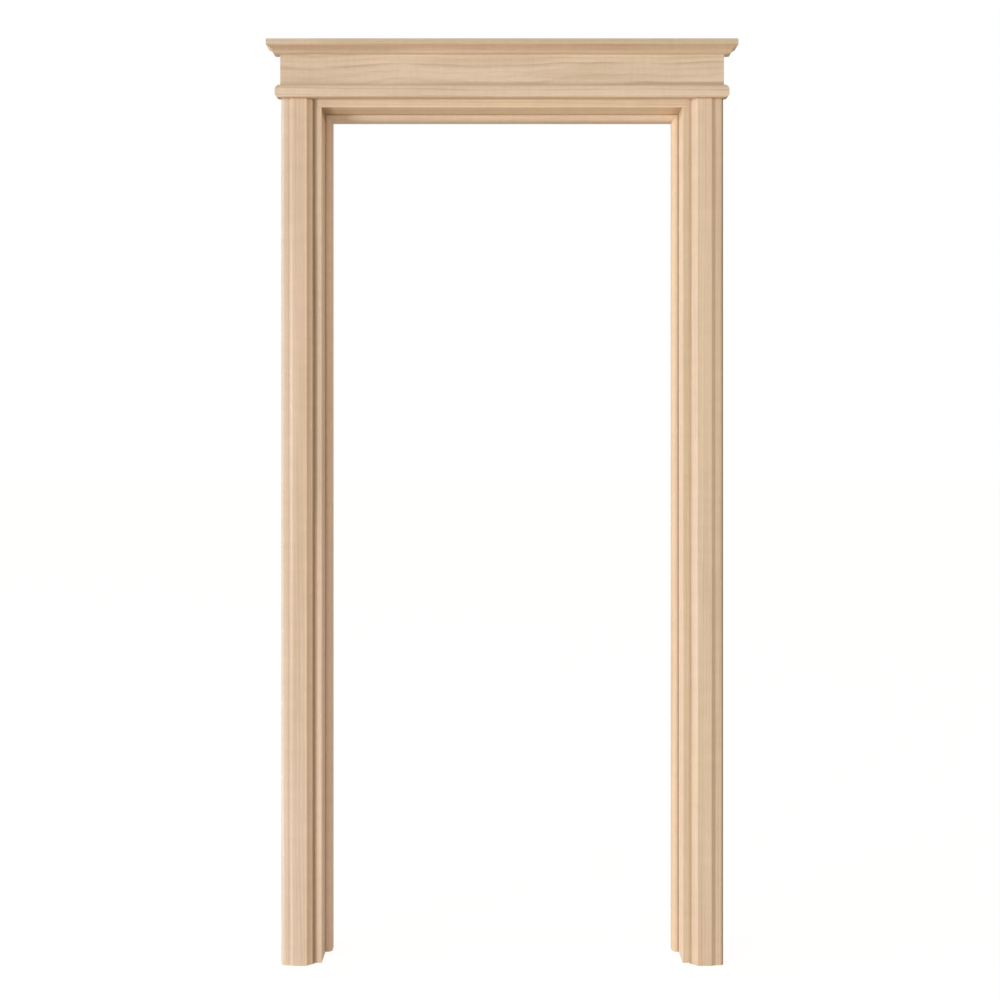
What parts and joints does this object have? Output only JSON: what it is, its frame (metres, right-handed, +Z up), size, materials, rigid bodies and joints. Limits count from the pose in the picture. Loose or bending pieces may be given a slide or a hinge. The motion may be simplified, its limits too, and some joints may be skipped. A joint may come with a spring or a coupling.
{
  "type": "door frame",
  "caption": "Cased wooden door frame with grooved jambs, seated stops, moulded casings, and a crosshead of frieze board, crown and bead with mitred returns.",
  "frame": {"origin": "floor level, in the middle of the frame's width and depth", "axes": "+Z up along the legs, +X to the right seen from the cased front, +Y from the cased front to the leaf's side"},
  "size_m": [1.122, 0.1888, 2.2135],
  "materials": {
    "jamb_wood": "smooth sanded, unfinished",
    "stop_wood": "smooth sanded, unfinished",
    "casing_wood": "smooth sanded, unfinished",
    "crosshead_wood": "smooth sanded, unfinished",
    "dowel_wood": "plain turned",
    "fastener_steel": "bright zinc"
  },
  "bodies": {
    "root": {"bead_front": "crosshead_wood", "bead_return_left": "crosshead_wood", "bead_return_right": "crosshead_wood", "bead_screw_1": "fastener_steel", "bead_screw_2": "fastener_steel", "bead_screw_3": "fastener_steel", "bead_screw_4": "fastener_steel", "bead_screw_5": "fastener_steel", "casing_left": "casing_wood", "casing_nail_left_1": "fastener_steel", "casing_nail_left_2": "fastener_steel", "casing_nail_left_3": "fastener_steel", "casing_nail_left_4": "fastener_steel", "casing_nail_left_5": "fastener_steel", "casing_nail_right_1": "fastener_steel", "casing_nail_right_2": "fastener_steel", "casing_nail_right_3": "fastener_steel", "casing_nail_right_4": "fastener_steel", "casing_nail_right_5": "fastener_steel", "casing_right": "casing_wood", "crosshead_dowel_left_1": "dowel_wood", "crosshead_dowel_left_2": "dowel_wood", "crosshead_dowel_right_1": "dowel_wood", "crosshead_dowel_right_2": "dowel_wood", "crown_front": "crosshead_wood", "crown_return_left": "crosshead_wood", "crown_return_right": "crosshead_wood", "crown_screw_1": "fastener_steel", "crown_screw_2": "fastener_steel", "crown_screw_3": "fastener_steel", "crown_screw_4": "fastener_steel", "crown_screw_5": "fastener_steel", "frieze_board": "crosshead_wood", "frieze_nail_1": "fastener_steel", "frieze_nail_2": "fastener_steel", "frieze_nail_3": "fastener_steel", "frieze_nail_4": "fastener_steel", "head_screw_left_1": "fastener_steel", "head_screw_left_2": "fastener_steel", "head_screw_left_3": "fastener_steel", "head_screw_right_1": "fastener_steel", "head_screw_right_2": "fastener_steel", "head_screw_right_3": "fastener_steel", "jamb_head": "jamb_wood", "jamb_left": "jamb_wood", "jamb_right": "jamb_wood", "stop_brad_head_1": "fastener_steel", "stop_brad_head_2": "fastener_steel", "stop_brad_head_3": "fastener_steel", "stop_brad_left_1": "fastener_steel", "stop_brad_left_2": "fastener_steel", "stop_brad_left_3": "fastener_steel", "stop_brad_left_4": "fastener_steel", "stop_brad_right_1": "fastener_steel", "stop_brad_right_2": "fastener_steel", "stop_brad_right_3": "fastener_steel", "stop_brad_right_4": "fastener_steel", "stop_head": "stop_wood", "stop_left": "stop_wood", "stop_right": "stop_wood"}
  },
  "joints": []
}
